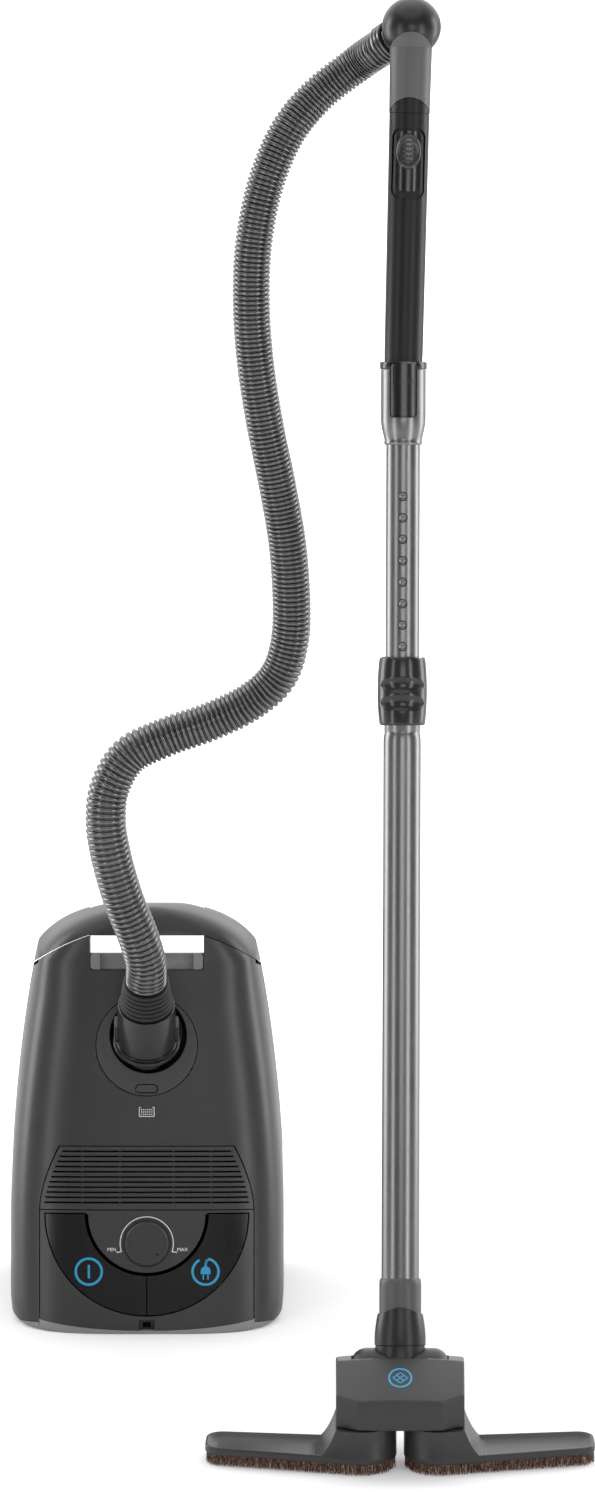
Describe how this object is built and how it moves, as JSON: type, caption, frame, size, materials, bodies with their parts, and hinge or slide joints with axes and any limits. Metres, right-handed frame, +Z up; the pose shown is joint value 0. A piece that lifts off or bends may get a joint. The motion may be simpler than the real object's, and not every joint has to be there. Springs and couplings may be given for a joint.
{
  "type": "canister vacuum cleaner",
  "caption": "Canister vacuum cleaner parked on end, its hose joined to a telescopic wand with a wide hard-floor brush nozzle.",
  "frame": {"origin": "floor level, under the middle of the whole object's box", "axes": "+Z up along the standing wand and the upright canister, front towards -Y, canister at -X and nozzle at +X"},
  "size_m": [0.57, 0.676, 1.3505],
  "materials": {
    "shell": "satin, dark grey",
    "black": "smooth, black",
    "grey": "matt, mid grey",
    "strip": "matt, light grey",
    "rubber": "matt, black",
    "hose": "corrugated, metallic grey",
    "steel": "brushed",
    "axle": "plain",
    "bristle": "natural brown bristle",
    "paper": "paper-like fleece",
    "filter": "white felt",
    "board": "green board",
    "inner": "unfinished grey"
  },
  "bodies": {
    "body": {"lower_housing": "shell", "carry_handle": "shell", "base_bumper": "strip", "lid_hinge_rod": "axle", "control_panel": "shell", "exhaust_filter": "filter", "bulkhead": "inner", "motor_filter": "filter", "dust_bag": "paper", "bag_collar": "paper", "motor_casing": "inner", "reel_axle": "inner", "circuit_board": "board", "cord_outlet": "black", "parking_socket": "black", "axle_left": "axle", "axle_right": "axle", "hose": "hose", "handle_elbow": "black", "handle_sleeve": "grey", "handle_grip": "black", "wand_collar": "steel", "collar_trim": "black", "upper_tube": "steel"},
    "lid": {"lid_shell": "shell", "inlet_ring": "shell", "inlet_seal": "rubber", "bag_window": "black", "hose_cuff": "black"},
    "latch": {"lid_latch": "shell"},
    "left_catch": {"cuff_catch_left": "black"},
    "right_catch": {"cuff_catch_right": "black"},
    "relief": {"bend_relief": "rubber"},
    "grille": {"exhaust_grille": "shell"},
    "power": {"power_pedal": "shell"},
    "rewind": {"rewind_pedal": "shell"},
    "knob": {"speed_knob": "shell"},
    "left_wheel": {"wheel_left": "rubber"},
    "right_wheel": {"wheel_right": "rubber"},
    "swivel": {"caster_fork": "black", "caster_axle": "axle"},
    "roller": {"caster_wheel": "rubber"},
    "rotor": {"motor_rotor": "axle"},
    "reel": {"cord_reel": "black"},
    "hose_end": {"hose_collar": "black"},
    "bleed": {"bleed_slider": "black"},
    "tube_latch": {"latch_button": "black"},
    "lower_wand": {"lower_tube": "steel", "nozzle_socket": "grey"},
    "sleeve": {"telescope_sleeve": "black"},
    "neck": {"nozzle_neck": "black", "tilt_barrel": "black"},
    "head": {"nozzle_block": "shell", "pivot_pin_left": "axle", "pivot_pin_right": "axle"},
    "left_wing": {"wing_left": "shell", "bristles_left": "bristle"},
    "right_wing": {"wing_right": "shell", "bristles_right": "bristle"}
  },
  "joints": [
    {"name": "lid_hinge", "type": "hinge", "parent": "body", "child": "lid", "pos_m": [-0.1504, 0.127, 0.0095], "axis": [1, 0, 0], "range_deg": [0, 60], "deforming": ["hose"]},
    {"name": "lid_latch_pull", "type": "hinge", "parent": "lid", "child": "latch", "pos_m": [-0.1504, 0.1869, 0.3464], "axis": [1, 0, 0], "range_deg": [0, 10], "stiffness_Nm_per_rad": 0.4},
    {"name": "left_catch_press", "type": "slide", "parent": "lid", "child": "left_catch", "axis": [1, 0, 0], "range_m": [0, 0.0024], "stiffness_N_per_m": 400},
    {"name": "right_catch_press", "type": "slide", "parent": "lid", "child": "right_catch", "axis": [-1, 0, 0], "range_m": [0, 0.0024], "stiffness_N_per_m": 400},
    {"name": "relief_swivel", "type": "hinge", "parent": "lid", "child": "relief", "pos_m": [-0.1504, 0.13561, 0.32742], "axis": [0, -0.5, 0.866], "continuous": true},
    {"name": "grille_removal", "type": "slide", "parent": "body", "child": "grille", "axis": [0, -0.9659, 0.2588], "range_m": [0, 0.045]},
    {"name": "power_press", "type": "slide", "parent": "body", "child": "power", "axis": [0, 0.9659, -0.2588], "range_m": [0, 0.004], "stiffness_N_per_m": 1500},
    {"name": "rewind_press", "type": "slide", "parent": "body", "child": "rewind", "axis": [0, 0.9659, -0.2588], "range_m": [0, 0.004], "stiffness_N_per_m": 1500},
    {"name": "speed_turn", "type": "hinge", "parent": "body", "child": "knob", "pos_m": [-0.1504, 0.11611, 0.08626], "axis": [0, -0.9659, 0.2588], "range_deg": [0, 270]},
    {"name": "left_wheel_roll", "type": "hinge", "parent": "body", "child": "left_wheel", "pos_m": [-0.2679, 0.283, 0.075], "axis": [1, 0, 0], "continuous": true},
    {"name": "right_wheel_roll", "type": "hinge", "parent": "body", "child": "right_wheel", "pos_m": [-0.0329, 0.283, 0.075], "axis": [1, 0, 0], "continuous": true},
    {"name": "caster_swivel", "type": "hinge", "parent": "body", "child": "swivel", "pos_m": [-0.1504, 0.31, 0.285], "axis": [0, 1, 0], "continuous": true},
    {"name": "caster_roll", "type": "hinge", "parent": "swivel", "child": "roller", "pos_m": [-0.1504, 0.32, 0.285], "axis": [1, 0, 0], "continuous": true},
    {"name": "motor_spin", "type": "hinge", "parent": "body", "child": "rotor", "pos_m": [-0.1504, 0.228, 0.12], "axis": [0, 0, 1], "continuous": true},
    {"name": "reel_spin", "type": "hinge", "parent": "body", "child": "reel", "pos_m": [-0.1504, 0.228, 0.033], "axis": [0, 0, 1], "continuous": true},
    {"name": "hose_end_swivel", "type": "hinge", "parent": "body", "child": "hose_end", "pos_m": [0.08598, 0.13786, 1.30236], "axis": [-0.6652, 0.4521, -0.5942], "continuous": true},
    {"name": "bleed_slide", "type": "slide", "parent": "body", "child": "bleed", "axis": [-0.0243, -0.2923, -0.956], "range_m": [0, 0.02]},
    {"name": "tube_latch_press", "type": "slide", "parent": "body", "child": "tube_latch", "axis": [-0.001, 0.9563, -0.2924], "range_m": [0, 0.0022], "stiffness_N_per_m": 400},
    {"name": "telescope", "type": "slide", "parent": "body", "child": "lower_wand", "axis": [0.0033, 0.2924, 0.9563], "range_m": [0, 0.19]},
    {"name": "sleeve_pull", "type": "slide", "parent": "lower_wand", "child": "sleeve", "axis": [0.0033, 0.2924, 0.9563], "range_m": [0, 0.006], "stiffness_N_per_m": 600},
    {"name": "neck_twist", "type": "hinge", "parent": "lower_wand", "child": "neck", "pos_m": [0.0968, -0.258, 0.076], "axis": [0.0033, 0.2924, 0.9563], "range_deg": [-60, 60]},
    {"name": "head_tilt", "type": "hinge", "parent": "neck", "child": "head", "pos_m": [0.0968, -0.258, 0.076], "axis": [1, 0, 0], "range_deg": [0, 50]},
    {"name": "left_wing_fold", "type": "hinge", "parent": "head", "child": "left_wing", "pos_m": [0.0594, -0.304, 0.03], "axis": [0, 0, -1], "range_deg": [0, 80]},
    {"name": "right_wing_fold", "type": "hinge", "parent": "head", "child": "right_wing", "pos_m": [0.1342, -0.304, 0.03], "axis": [0, 0, 1], "range_deg": [0, 80]}
  ]
}
